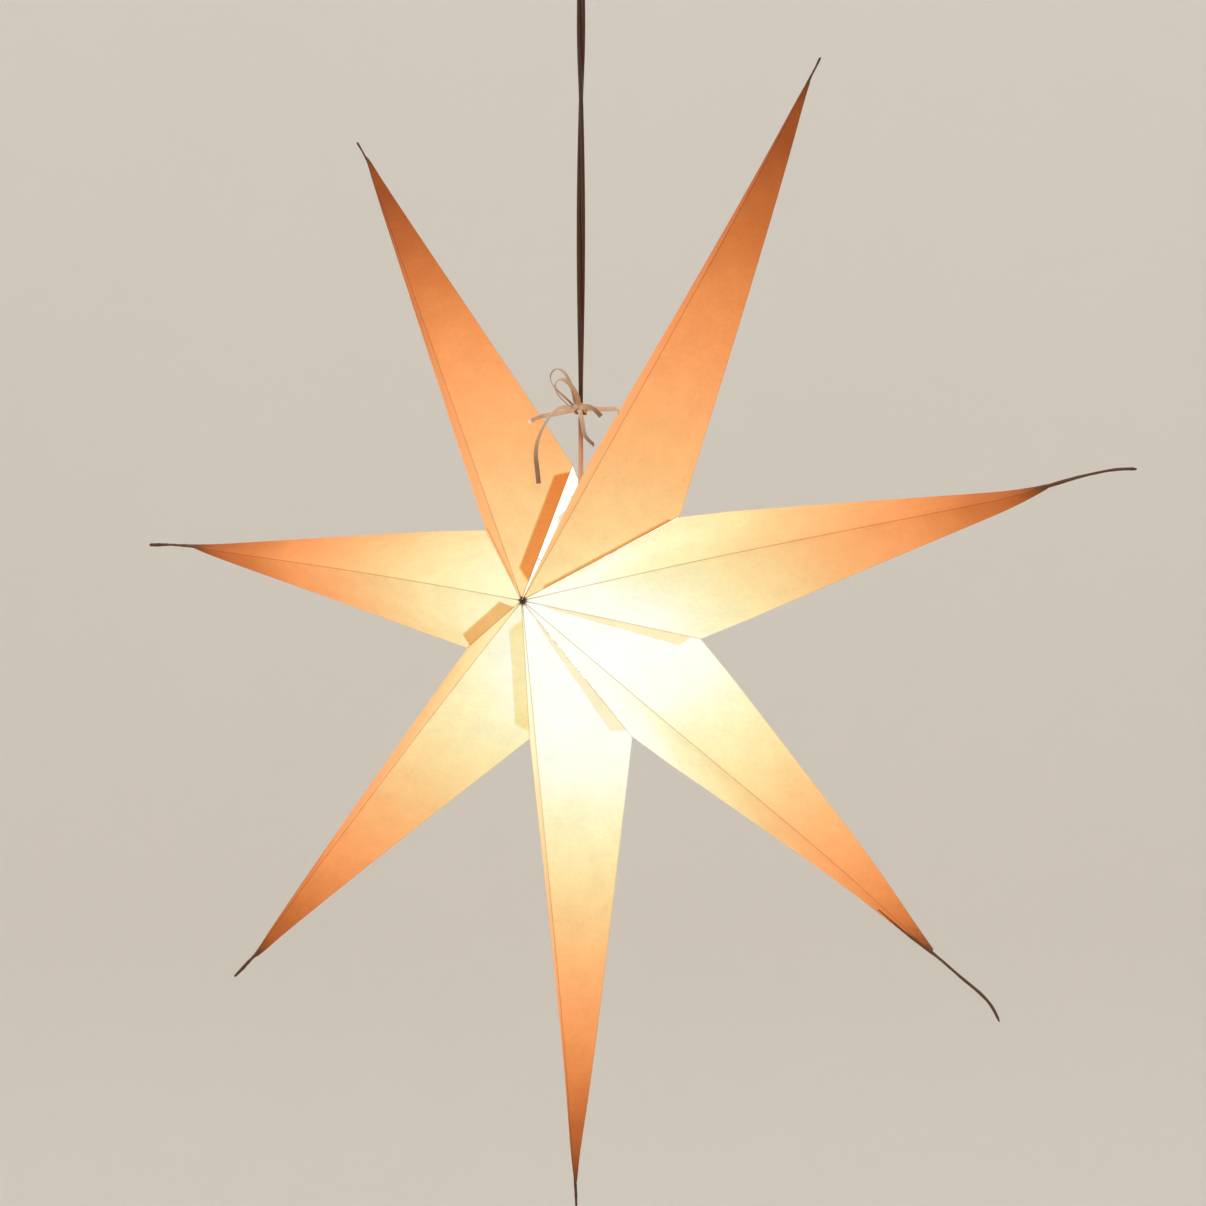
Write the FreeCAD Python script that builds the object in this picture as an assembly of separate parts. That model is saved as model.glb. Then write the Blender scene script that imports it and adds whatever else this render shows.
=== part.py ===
import FreeCAD, Part
import math
import os

# Seven-pointed folding paper star that hangs on its lamp cord from a ceiling fitting.
# Origin: centre of the ceiling face of the fitting. +Z up, the star's front faces -Y.
# All sizes in millimetres, angles in degrees.

Vec = FreeCAD.Vector
os.makedirs("parts", exist_ok=True)

# ---- star ----
tip_radius = 350.0          # hub axis to the end of a point
notch_radius = 86.0         # hub axis to the notch between two points
half_depth = 62.0           # mid-plane to the front or back apex
seam_gap_angle = 7.5        # opening left at the tied seam at the top
paper_thickness = 0.3
tail_length = 42.0          # glued, twisted end of each point
tail_gap = 1.0              # panels' ends to the tail
tail_base = (1.8, 6.0)      # thickness round the hub, depth front to back
tail_end = (1.0, 2.0)
tail_flat = 0.4             # share of the tail's section that is flat
# crease gaps: the plates stop short of each fold by this much, so that they clear when it folds
ridge_gap_hub = 4.4
ridge_gap_tip = 0.6
outline_gap_notch = 3.8
outline_gap_tip = 0.6
valley_gap = 3.4
apex_cut = 8.0              # plates stop this far from the front and back apex
# glue flaps
flap_width = 8.0
flap_hub_end = 18.0         # apex to the start of a flap
flap_notch_end = 9.0        # notch to the end of a flap
# holes for the tie tape, in the edges either side of the seam
tie_along = 38.0            # notch to hole, along the edge
tie_in = 7.5                # edge to hole, across the panel
tie_hole_radius = 1.8

# ---- hanging ----
star_drop = 435.0           # ceiling to the hub axis
cord_radius = 2.6           # half the width of the flat twin cord
cord_clearance = 0.4

# ---- tie tape ----
tape_radius = 1.4           # half the width of the cotton tape
knot_wall = 2.0             # tape wound round the cord
knot_length = 7.0
knot_round = 1.0            # rounded off at the knot's ends
knot_clearance = 0.15       # cord to the knot's bore
knot_rise = 2.0             # knot's middle above the tie holes
tape_gap = 0.2              # knot to the start of each straight tape
tape_stop = 2.0             # tape's end to the ideal edge line of the paper
arc_share = 0.45            # share of a tape's run taken by the arc at its end

# ---- lampholder and bulb ----
holder_radius = 14.0
holder_wall = 1.6
holder_length = 33.0
holder_taper = 1.0          # holder's mouth is narrower than its cap by this much
cap_length = 22.0
cap_cone_length = 7.0       # sloping shoulder of the cap
cap_top_radius = 6.0
cap_top_length = 6.0
cap_top_wall = 1.5
cap_thread_length = 6.0     # holder's spigot screwed up into the cap
cap_thread_clearance = 0.2
lamp_clearance = 4.0        # holder's shoulder to the paper
sleeve_wall = 0.8
sleeve_length = 20.0
sleeve_lip = 1.0
sleeve_hole_radius = 6.0
floor_thickness = 3.0
floor_hole_radius = 3.0
contact_size = (8.4, 3.0, 0.5)
contact_drop = 1.8          # floor to the spring contact
contact_rise = 1.5          # contact's tongue above the floor
contact_foot = 6.0
bulb_cap_radius = 7.0
bulb_cap_wall = 0.4
bulb_clearance = 0.35
bulb_cap_length = 19.0
bulb_seat = 0.2             # button to the spring contact
bulb_skirt_length = 2.5     # sloping part of the skirt round the glass
bulb_collar_length = 1.6    # straight part below it
bulb_neck_radius = 9.6
bulb_radius = 22.5
bulb_length = 56.0
bulb_wall = 0.8
bulb_shoulder = 14.0        # middle of the ball up to where the neck's curve begins
bulb_waist = 0.6            # how far the neck's curve bows in
glass_gap = 0.1             # skirt to the glass
glass_lap = 1.0             # how far the glass goes up into the collar
glass_neck_length = 3.0
button_radius = 2.2
button_length = 1.6
insulator_length = 4.0
stem_length = 20.0
stem_radius = 4.0
stem_end_radius = 1.6
filament_width = 16.0
filament_radius = 0.8
wire_radius = 0.35

# ---- ceiling fitting ----
cup_radius = 38.0
cup_height = 42.0
cup_straight = 19.0         # upright part of the cup's wall
cup_wall = 1.8
cup_foot_radius = 20.0
cup_gap = 0.3               # ceiling to the cup's rim
grip_radius = 7.0
grip_clearance = 0.1        # grip to the hole in the cup
grip_flange_radius = 10.0
grip_length = 13.0
grip_flange = 2.5
grip_rise = 6.0             # grip's collar inside the cup
grip_taper = 2.0
grip_taper_length = 4.0
bracket_length = 60.0
bracket_width = 16.0
bracket_thickness = 2.0
screw_spacing = 44.0
screw_hole_radius = 2.25
block_size = (19.0, 13.0, 12.0)
block_screw_radius = 1.6
block_screw_depth = 3.0
block_screw_pitch = 9.0

# ---- worked out from the sizes above ----
ray_count = 7
spacing = (360.0 - seam_gap_angle) / ray_count
half_spacing = math.radians(spacing / 2)
hub = Vec(0, 0, -star_drop)
front = Vec(0, -1, 0)
holder_top = hub.z + notch_radius * (1 - (holder_radius + lamp_clearance) / half_depth) + cap_top_length
cap_bottom = holder_top - cap_top_length - cap_length
holder_bottom = cap_bottom - holder_length
knot_radius = cord_radius + knot_wall
sleeve_top = cap_bottom - floor_thickness
sleeve_radius = bulb_cap_radius + bulb_clearance + sleeve_wall
block_bottom = -bracket_thickness - block_size[2]


def save(shape, name):
    if not shape.isValid() or not shape.Solids:
        raise ValueError("bad solid: " + name)
    shape.exportStep("parts/" + name + ".step")
    print(name, len(shape.Solids), "solids", round(shape.Volume, 1), "mm3")


def rayFrame(number):
    # rays are numbered clockwise from the seam, seen from the front; ray 4 hangs straight down
    turn = math.radians(-90 + (4 - number) * spacing)
    outward = Vec(math.cos(turn), 0, math.sin(turn))
    around = Vec(-math.sin(turn), 0, math.cos(turn))
    return outward, around


def clip(outline, inside):
    # keeps the part of a flat outline where inside(point) is positive
    kept = []
    for here, there in zip(outline, outline[1:] + outline[:1]):
        a, b = inside(here), inside(there)
        if a >= 0:
            kept.append(here)
        if a * b < 0:
            kept.append((here[0] + (there[0] - here[0]) * a / (a - b),
                         here[1] + (there[1] - here[1]) * a / (a - b)))
    return kept


def side(start, end, inner, gap_start, gap_end):
    # distance inside the line start-end, moved towards the point inner by a gap at each end
    length = math.hypot(end[0] - start[0], end[1] - start[1])
    across = ((start[1] - end[1]) / length, (end[0] - start[0]) / length)
    sign = 1 if across[0] * (inner[0] - start[0]) + across[1] * (inner[1] - start[1]) > 0 else -1
    across = (sign * across[0], sign * across[1])
    p = (start[0] + across[0] * gap_start, start[1] + across[1] * gap_start)
    q = (end[0] + across[0] * gap_end, end[1] + across[1] * gap_end)
    reach = math.hypot(q[0] - p[0], q[1] - p[1])
    normal = ((p[1] - q[1]) / reach, (q[0] - p[0]) / reach)
    if normal[0] * across[0] + normal[1] * across[1] < 0:
        normal = (-normal[0], -normal[1])
    return lambda point: (point[0] - p[0]) * normal[0] + (point[1] - p[1]) * normal[1]


def beyond(origin, towards, distance):
    # positive past the line square to origin-towards at a distance from origin
    length = math.hypot(towards[0] - origin[0], towards[1] - origin[1])
    way = ((towards[0] - origin[0]) / length, (towards[1] - origin[1]) / length)
    return lambda point: (point[0] - origin[0]) * way[0] + (point[1] - origin[1]) * way[1] - distance


def panel(number, lateral, face):
    # one of the four plates of a ray: lateral +1 is its counter-clockwise side, face +1 its front
    outward, around = rayFrame(number)
    tip = hub + outward * tip_radius
    apex = hub + front * (face * half_depth)
    notch_way = outward * math.cos(half_spacing) + around * (lateral * math.sin(half_spacing))
    notch = hub + notch_way * notch_radius
    # flat coordinates in the panel's own plane: x from apex to tip, y towards the notch
    ridge = (tip - apex)
    ridge_length = ridge.Length
    along = ridge / ridge_length
    rest = (notch - apex) - along * along.dot(notch - apex)
    across = rest / rest.Length
    apex2, tip2 = (0.0, 0.0), (ridge_length, 0.0)
    notch2 = (along.dot(notch - apex), across.dot(notch - apex))
    middle = ((tip2[0] + notch2[0]) / 3, notch2[1] / 3)
    ridge_side = side(apex2, tip2, middle, ridge_gap_hub, ridge_gap_tip)
    outline_side = side(notch2, tip2, middle, outline_gap_notch, outline_gap_tip)
    valley_side = side(apex2, notch2, middle, valley_gap, valley_gap)
    outline = [apex2, tip2, notch2]
    for keep in (ridge_side, outline_side, valley_side, beyond(apex2, middle, apex_cut)):
        outline = clip(outline, keep)
    # the outer end is cut square to the ray, where the tail begins
    limit = tip_radius - tail_length

    def toTail(point):
        return limit - outward.dot(apex + along * point[0] + across * point[1] - hub)

    outline = clip(outline, toTail)

    normal = along.cross(across)
    centre = apex + along * middle[0] + across * middle[1]
    if normal.dot(centre - (hub + outward * outward.dot(centre - hub))) < 0:
        normal = normal * -1
    inward = normal * -1

    def plate(points, depth):
        corners = [apex + along * x + across * y + inward * depth for x, y in points]
        return Part.Face(Part.makePolygon(corners + corners[:1])).extrude(inward * paper_thickness)

    solid = plate(outline, 0)
    seam_side = (number == 1 and lateral == 1) or (number == ray_count and lateral == -1)
    has_flap = (lateral == 1 and number != 1) or (number == ray_count and lateral == -1)
    if has_flap:
        strip = clip(outline, lambda p: flap_width - valley_side(p))
        strip = clip(strip, beyond(apex2, notch2, flap_hub_end))
        strip = clip(strip, beyond(notch2, apex2, flap_notch_end))
        solid = solid.fuse(plate(strip, paper_thickness)).removeSplitter()
    if seam_side:
        edge = (tip2[0] - notch2[0], tip2[1] - notch2[1])
        edge_length = math.hypot(*edge)
        edge = (edge[0] / edge_length, edge[1] / edge_length)
        inner = (-edge[1], edge[0])
        if inner[0] * (middle[0] - notch2[0]) + inner[1] * (middle[1] - notch2[1]) < 0:
            inner = (-inner[0], -inner[1])
        x = notch2[0] + edge[0] * tie_along + inner[0] * tie_in
        y = notch2[1] + edge[1] * tie_along + inner[1] * tie_in
        start = apex + along * x + across * y - inward * paper_thickness
        solid = solid.cut(Part.makeCylinder(tie_hole_radius, paper_thickness * 3, start, inward))
    return solid


def tail(number):
    # thin tapered end of a ray, flat front to back
    outward, around = rayFrame(number)

    def section(distance, size):
        centre = hub + outward * distance
        half_x, half_y = size[0] / 2, size[1] / 2
        octagon = ((1, tail_flat), (tail_flat, 1), (-tail_flat, 1), (-1, tail_flat),
                   (-1, -tail_flat), (-tail_flat, -1), (tail_flat, -1), (1, -tail_flat))
        corners = [centre + around * (half_x * a) + front * (half_y * b) for a, b in octagon]
        return Part.makePolygon(corners + corners[:1])

    start = section(tip_radius - tail_length + tail_gap, tail_base)
    return Part.makeLoft([start, section(tip_radius, tail_end)], True, True)


def turned(profile):
    # solid of revolution about the vertical axis from (radius, height) points
    points = [Vec(r, 0, z) for r, z in profile]
    face = Part.Face(Part.makePolygon(points + points[:1]))
    return face.revolve(Vec(0, 0, 0), Vec(0, 0, 1), 360)


def tube(points, radius):
    # round tube along straight runs joined by tangent arcs
    points = [Vec(*p) for p in points]
    edges, here = [], points[0]
    radii = []
    for before, corner, after in zip(points, points[1:], points[2:]):
        run_in, run_out = corner - before, after - corner
        turn = run_in.getAngle(run_out)
        reach = arc_share * min(run_in.Length, run_out.Length)
        radii.append(round(reach / math.tan(turn / 2), 1))
        start = corner - run_in / run_in.Length * reach
        end = corner + run_out / run_out.Length * reach
        chord_middle = (start + end) / 2
        to_corner = corner - chord_middle
        sagitta = reach / math.tan(turn / 2) * (1 / math.cos(turn / 2) - 1)
        arc_middle = corner - to_corner / to_corner.Length * sagitta
        edges.append(Part.LineSegment(here, start).toShape())
        edges.append(Part.Arc(start, arc_middle, end).toShape())
        here = end
    edges.append(Part.LineSegment(here, points[-1]).toShape())
    path = Part.Wire(edges)
    way = points[1] - points[0]
    ring = Part.Wire(Part.makeCircle(radius, points[0], way))
    solid = path.makePipeShell([ring], True, False)
    print("  radii", radii, "length", round(path.Length, 1),
          "volume share", round(solid.Volume / (path.Length * math.pi * radius ** 2), 4))
    return solid


# ---- paper ----
for number in range(1, ray_count + 1):
    for lateral, lateral_name in ((1, "left"), (-1, "right")):
        for face, face_name in ((1, "front"), (-1, "back")):
            save(panel(number, lateral, face), f"ray_{number}_{face_name}_{lateral_name}")
    save(tail(number), f"ray_{number}_tip")

# ---- supply cord, taut from the terminal block to the lampholder ----
cord_end = holder_top - cap_top_length / 2
cord = Part.makeCylinder(cord_radius, block_bottom - cord_end, Vec(0, 0, cord_end))
save(cord, "supply_cord")

# ---- tie tape: a knot round the cord, a run to each side of the seam, two loops and two tails ----
seam_half = math.radians(seam_gap_angle / 2)
seam_notch = Vec(notch_radius * math.sin(seam_half), 0, hub.z + notch_radius * math.cos(seam_half))
seam_turn = math.radians(90 - seam_gap_angle / 2) - half_spacing
seam_tip = hub + Vec(math.cos(seam_turn), 0, math.sin(seam_turn)) * tip_radius
seam_edge = (seam_tip - seam_notch) / (seam_tip - seam_notch).Length
tie_point = seam_notch + seam_edge * tie_along - Vec(seam_edge.z, 0, -seam_edge.x) * tape_stop
knot_z = tie_point.z + knot_rise
knot = turned([(cord_radius + knot_clearance, knot_z - knot_length / 2),
               (knot_radius - knot_round, knot_z - knot_length / 2),
               (knot_radius, knot_z - knot_length / 2 + knot_round),
               (knot_radius, knot_z + knot_length / 2 - knot_round),
               (knot_radius - knot_round, knot_z + knot_length / 2),
               (cord_radius + knot_clearance, knot_z + knot_length / 2)])
save(knot, "tie_knot")
for sign, name in ((1, "tie_tape_right"), (-1, "tie_tape_left")):
    inner_end = Vec(sign * (knot_radius + tape_gap), 0, knot_z)
    outer_end = Vec(sign * tie_point.x, 0, tie_point.z)
    run = outer_end - inner_end
    save(Part.makeCylinder(tape_radius, run.Length, inner_end, run), name)


def tape(name, route):
    # route points are measured from the middle of the knot
    save(tube([(x, y, knot_z + z) for x, y, z in route], tape_radius), name)


# the tapes' routes, chosen by hand
tape("tie_loop_upper", [(-0.4, -6.2, 4.6), (-1.0, -7.4, 9.6), (-2.2, -8.4, 15.6), (-5.4, -9.2, 21.4),
                        (-11.2, -9.4, 25.0), (-16.8, -9.0, 21.0), (-15.4, -8.0, 14.6), (-10.6, -7.2, 9.8),
                        (-6.4, -6.6, 6.0)])
tape("tie_loop_lower", [(3.0, -6.0, 3.6), (2.6, -9.4, 8.4), (0.4, -12.6, 13.6), (-4.4, -14.2, 17.4),
                        (-9.8, -14.0, 14.6), (-9.4, -12.4, 8.6), (-6.0, -9.8, 3.8), (-3.2, -6.6, 0.4)])
tape("tie_tail_left", [(-5.6, -4.6, -1.6), (-11.0, -6.0, 0.6), (-17.0, -6.8, -2.0), (-22.0, -8.0, -8.4),
                       (-24.6, -12.0, -17.6), (-23.4, -18.0, -28.0), (-20.8, -23.0, -38.0),
                       (-18.6, -26.6, -46.0)])
tape("tie_tail_right", [(3.6, -5.6, -4.0), (5.6, -7.2, -8.6), (7.4, -9.0, -14.0), (9.6, -12.0, -19.6),
                        (13.4, -15.4, -24.4), (18.2, -17.4, -28.0)])

# ---- lampholder ----
cap_inner = holder_radius - holder_wall
cap_shoulder = holder_top - cap_top_length
cap_shell = turned([
    (cord_radius + cord_clearance, holder_top), (cap_top_radius, holder_top),
    (cap_top_radius, cap_shoulder),
    (holder_radius, cap_shoulder - cap_cone_length), (holder_radius, cap_bottom),
    (cap_inner, cap_bottom), (cap_inner, cap_shoulder - cap_cone_length - cap_top_wall),
    (cap_top_radius - holder_wall, cap_shoulder - cap_top_wall),
    (cord_radius + cord_clearance, cap_shoulder - cap_top_wall)])
save(cap_shell, "lampholder_cap")
spigot = cap_inner - cap_thread_clearance
mouth = holder_radius - holder_taper
body_shell = turned([
    (spigot, cap_bottom + cap_thread_length), (spigot, cap_bottom), (holder_radius, cap_bottom),
    (mouth, holder_bottom), (mouth - holder_wall, holder_bottom),
    (mouth - holder_wall, sleeve_top), (floor_hole_radius, sleeve_top),
    (floor_hole_radius, cap_bottom), (spigot - holder_wall, cap_bottom),
    (spigot - holder_wall, cap_bottom + cap_thread_length)])
save(body_shell, "lampholder_body")
sleeve = turned([
    (sleeve_radius, sleeve_top), (sleeve_radius, sleeve_top - sleeve_length),
    (sleeve_radius - sleeve_wall, sleeve_top - sleeve_length),
    (sleeve_radius - sleeve_wall, sleeve_top - sleeve_lip),
    (sleeve_hole_radius, sleeve_top - sleeve_lip), (sleeve_hole_radius, sleeve_top)])
save(sleeve, "thread_sleeve")
# spring contact: a plate under the floor, a tongue up through it and a foot that rests on it
contact_x, contact_y, contact_z = contact_size
plate_low = sleeve_top - contact_drop - contact_z
tongue_height = cap_bottom + contact_rise - plate_low
contact = Part.makeBox(contact_x, contact_y, contact_z, Vec(-contact_x / 2, -contact_y / 2, plate_low))
tongue_corner = Vec(-contact_z / 2, -contact_y / 2, plate_low)
contact = contact.fuse(Part.makeBox(contact_z, contact_y, tongue_height, tongue_corner))
contact = contact.fuse(Part.makeBox(contact_foot, contact_y, contact_z, Vec(0, -contact_y / 2, cap_bottom)))
save(contact.removeSplitter(), "centre_contact")

# ---- bulb: screw cap, contact button, glass and filament ----
button_top = plate_low - bulb_seat
insulator_top = button_top - button_length
cap_top = insulator_top - insulator_length
cap_end = insulator_top - bulb_cap_length
collar_top = cap_end - bulb_skirt_length
skirt_end = collar_top - bulb_collar_length
cap_bore = bulb_cap_radius - bulb_cap_wall
bulb_cap = turned([
    (bulb_cap_radius, cap_top), (bulb_cap_radius, cap_end), (bulb_neck_radius, collar_top),
    (bulb_neck_radius, skirt_end), (bulb_neck_radius - bulb_cap_wall, skirt_end),
    (bulb_neck_radius - bulb_cap_wall, collar_top), (cap_bore, cap_end), (cap_bore, cap_top)])
save(bulb_cap, "bulb_screw_cap")
insulator = turned([
    (0, cap_top), (cap_bore, cap_top), (cap_bore, cap_top + insulator_length / 4),
    (button_radius + insulator_length / 4, insulator_top), (0, insulator_top)])
save(insulator, "bulb_insulator")
save(Part.makeCylinder(button_radius, button_length, Vec(0, 0, insulator_top)), "bulb_contact")

ball_centre = cap_end - bulb_length + bulb_radius
glass_top = skirt_end + glass_lap
glass_straight = glass_top - glass_neck_length


def bulbProfile(shrink):
    # neck, shoulder and round end of the bulb as an edge chain from the neck to the axis
    neck = bulb_neck_radius - bulb_cap_wall - glass_gap - shrink
    ball = bulb_radius - shrink
    shoulder = (math.sqrt(ball ** 2 - bulb_shoulder ** 2), ball_centre + bulb_shoulder)
    waist = ((neck + shoulder[0]) / 2 - bulb_waist, (glass_straight + shoulder[1]) / 2)
    # the ball is one arc from the shoulder to the axis, through its widest point
    profile = ((neck, glass_top), (neck, glass_straight), waist, shoulder, (ball, ball_centre),
               (0, ball_centre - ball))
    points = [Vec(r, 0, z) for r, z in profile]
    chain = [Part.LineSegment(points[0], points[1]).toShape(),
             Part.Arc(points[1], points[2], points[3]).toShape(),
             Part.Arc(points[3], points[4], points[5]).toShape()]
    return points[0], points[5], chain


outer_start, outer_end, outer_chain = bulbProfile(0)
inner_start, inner_end, inner_chain = bulbProfile(bulb_wall)
glass_wire = Part.Wire(outer_chain + [Part.LineSegment(outer_end, inner_end).toShape()]
                       + inner_chain[::-1] + [Part.LineSegment(inner_start, outer_start).toShape()])
glass = Part.Face(glass_wire).revolve(Vec(0, 0, 0), Vec(0, 0, 1), 360)
save(glass, "bulb_glass")
down = Vec(0, 0, -1)
stem = Part.makeCone(stem_radius, stem_end_radius, stem_length, Vec(0, 0, glass_top), down)
supports = []
for sign in (1, -1):
    low = Vec(sign * filament_width / 2, 0, ball_centre)
    high = Vec(sign * stem_end_radius / 2, 0, glass_top - stem_length + bulb_seat)
    supports.append(Part.makeCylinder(wire_radius, (low - high).Length, high, low - high))
filament_start = Vec(-filament_width / 2, 0, ball_centre)
filament = Part.makeCylinder(filament_radius, filament_width, filament_start, Vec(1, 0, 0))
save(stem.multiFuse(supports + [filament]).removeSplitter(), "bulb_stem")

# ---- ceiling fitting ----
bracket = Part.makeBox(bracket_length, bracket_width, bracket_thickness,
                       Vec(-bracket_length / 2, -bracket_width / 2, -bracket_thickness))
corner_edges = [e for e in bracket.Edges if abs(e.Vertexes[0].Z - e.Vertexes[1].Z) > bracket_thickness / 2]
bracket = bracket.makeFillet(bracket_width / 4, corner_edges)
for sign in (1, -1):
    hole_start = Vec(sign * screw_spacing / 2, 0, -bracket_thickness * 2)
    bracket = bracket.cut(Part.makeCylinder(screw_hole_radius, bracket_thickness * 3, hole_start))
save(bracket, "ceiling_bracket")
block_length, block_depth, block_height = block_size
block = Part.makeBox(*block_size, Vec(-block_length / 2, -block_depth / 2, block_bottom))
for sign in (1, -1):
    for front_sign in (1, -1):
        screw_start = Vec(sign * block_screw_pitch / 2, front_sign * (block_depth / 2 - block_screw_depth),
                          block_bottom + block_height / 2)
        screw_way = Vec(0, front_sign, 0)
        screw_recess = Part.makeCylinder(block_screw_radius, block_screw_depth * 2, screw_start, screw_way)
        block = block.cut(screw_recess)
save(block, "terminal_block")
foot_z = -cup_height
cup_bend = -cup_straight
cup_hole_radius = grip_radius + grip_clearance
cup = turned([
    (cup_radius, -cup_gap), (cup_radius, cup_bend), (cup_foot_radius, foot_z),
    (cup_hole_radius, foot_z), (cup_hole_radius, foot_z + cup_wall),
    (cup_foot_radius - cup_wall / 2, foot_z + cup_wall), (cup_radius - cup_wall, cup_bend + cup_wall / 2),
    (cup_radius - cup_wall, -cup_gap)])
save(cup, "ceiling_cup")
grip_hole = cord_radius + cord_clearance
grip_end = foot_z - grip_length
grip = turned([
    (grip_hole, grip_end), (grip_radius - grip_taper, grip_end), (grip_radius, grip_end + grip_taper_length),
    (grip_radius, foot_z - grip_flange), (grip_flange_radius, foot_z - grip_flange),
    (grip_flange_radius, foot_z),
    (grip_radius, foot_z), (grip_radius, foot_z + grip_rise), (grip_hole, foot_z + grip_rise)])
save(grip, "cord_grip")
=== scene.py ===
import bpy
import math
import numpy as np
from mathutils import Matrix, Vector


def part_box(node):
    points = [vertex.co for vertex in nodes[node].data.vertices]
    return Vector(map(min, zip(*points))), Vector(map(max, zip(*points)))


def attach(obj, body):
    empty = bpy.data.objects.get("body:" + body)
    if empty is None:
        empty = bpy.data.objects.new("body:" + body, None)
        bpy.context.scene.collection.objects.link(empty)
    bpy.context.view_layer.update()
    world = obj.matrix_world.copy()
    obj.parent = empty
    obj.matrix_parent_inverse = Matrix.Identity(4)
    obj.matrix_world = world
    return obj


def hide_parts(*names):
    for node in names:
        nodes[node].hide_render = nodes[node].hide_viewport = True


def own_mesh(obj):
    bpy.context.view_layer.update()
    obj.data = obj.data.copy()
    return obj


# Folding paper star, lit from inside, hanging on its lamp cord from a ceiling fitting.
# Metres, Z up, the star's front faces -Y; rays are numbered clockwise from the seam at the top.

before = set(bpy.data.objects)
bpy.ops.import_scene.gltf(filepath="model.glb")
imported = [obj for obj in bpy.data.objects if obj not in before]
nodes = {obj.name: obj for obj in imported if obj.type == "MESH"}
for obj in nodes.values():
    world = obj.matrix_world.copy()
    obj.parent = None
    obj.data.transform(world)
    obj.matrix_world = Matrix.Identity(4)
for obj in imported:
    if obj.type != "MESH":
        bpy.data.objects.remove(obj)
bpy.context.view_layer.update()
scene = bpy.context.scene
mm = 0.001
fullTurn = 2 * math.pi

star = {"tipRadius": 350 * mm, "notchRadius": 86 * mm, "halfDepth": 62 * mm,
        "seamGap": 7.5, "rayCount": 7, "lampBelowHub": 20.6,
        # millimetres that each ray's paper tip reaches farther out and bows towards its counter-clockwise side
        "bow": {1: (0.0, 5.8), 2: (3.4, -9.0), 3: (1.5, -2.5), 4: (3.6, -2.0), 5: (3.0, 5.5), 6: (1.0, 9.5),
                7: (1.2, 2.7)},
        "holeAlong": 38.0, "holeIn": 7.5, "holeRadius": 1.8}
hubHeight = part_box("ray_4_tip")[0].z + star["tipRadius"]
hub = np.array([0.0, 0.0, hubHeight])
spacing = (360 - star["seamGap"]) / star["rayCount"]
halfSpacing = math.radians(spacing / 2)


def rayFrame(number):
    # the ray's own directions: outward along it, and round the star towards its counter-clockwise side
    turn = math.radians(-90 + (4 - number) * spacing)
    return np.array([math.cos(turn), 0, math.sin(turn)]), np.array([-math.sin(turn), 0, math.cos(turn)])


def fromRay(number, local):
    # points in millimetres (outward, around, to the front) of a ray, as world points
    outward, around = rayFrame(number)
    local = np.asarray(local, float)
    reach, lean = star["bow"][number]
    bowed = (local[..., :1] * mm / star["tipRadius"]) ** 2
    return hub + ((local[..., :1] + reach * bowed) * outward + (local[..., 1:2] + lean * bowed) * around
                  - local[..., 2:] * np.array([0, 1, 0])) * mm


def panelCorners(lateral, face):
    # tip, notch, apex and outward normal of a panel in its ray's coordinates
    tip = np.array([star["tipRadius"], 0, 0]) / mm
    notch = np.array([math.cos(halfSpacing), lateral * math.sin(halfSpacing), 0]) * star["notchRadius"] / mm
    apex = np.array([0, 0, face * star["halfDepth"]]) / mm
    normal = np.cross(notch - apex, tip - apex)
    normal *= np.sign(normal[2] * face) / np.linalg.norm(normal)
    return tip, notch, apex, normal


def tieHole(lateral, face):
    # middle of the hole for the tape, along the edge from the notch and in from it
    tip, notch, apex, normal = panelCorners(lateral, face)
    edge = (tip - notch) / np.linalg.norm(tip - notch)
    inner = apex - notch - edge * ((apex - notch) @ edge)
    return notch + edge * star["holeAlong"] + inner / np.linalg.norm(inner) * star["holeIn"], normal


def boxOf(node, unit=1.0):
    low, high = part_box(node)
    return np.array(low) / unit, np.array(high) / unit


# camera
camera = {"lens": 77.6, "azimuth": 32.9, "elevation": -4.2, "distance": 1.546,
          "aim": (15.9 * mm, 0.0, 1.8 * mm)}
azimuth, elevation = math.radians(camera["azimuth"]), math.radians(camera["elevation"])
backward = Vector((math.sin(azimuth) * math.cos(elevation),
                   -math.cos(azimuth) * math.cos(elevation), math.sin(elevation)))
cameraData = bpy.data.cameras.new("camera")
cameraData.lens = camera["lens"]
cameraObject = bpy.data.objects.new("camera", cameraData)
scene.collection.objects.link(cameraObject)
cameraObject.location = Vector(hub) + Vector(camera["aim"]) + backward * camera["distance"]
cameraObject.rotation_euler = backward.to_track_quat("Z", "Y").to_euler()
scene.camera = cameraObject
scene.view_settings.view_transform = "Standard"
print("camera ready")


# helpers for meshes
def gridFaces(rows, columns, wrap=False):
    # quads between neighbouring points of a grid, row by row; wrap joins the last column to the first
    i, j = np.meshgrid(np.arange(rows - 1), np.arange(columns if wrap else columns - 1), indexing="ij")
    k = (j + 1) % columns
    quads = np.stack([i * columns + j, i * columns + k, (i + 1) * columns + k, (i + 1) * columns + j], -1)
    return quads.reshape(-1, 4)


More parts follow.
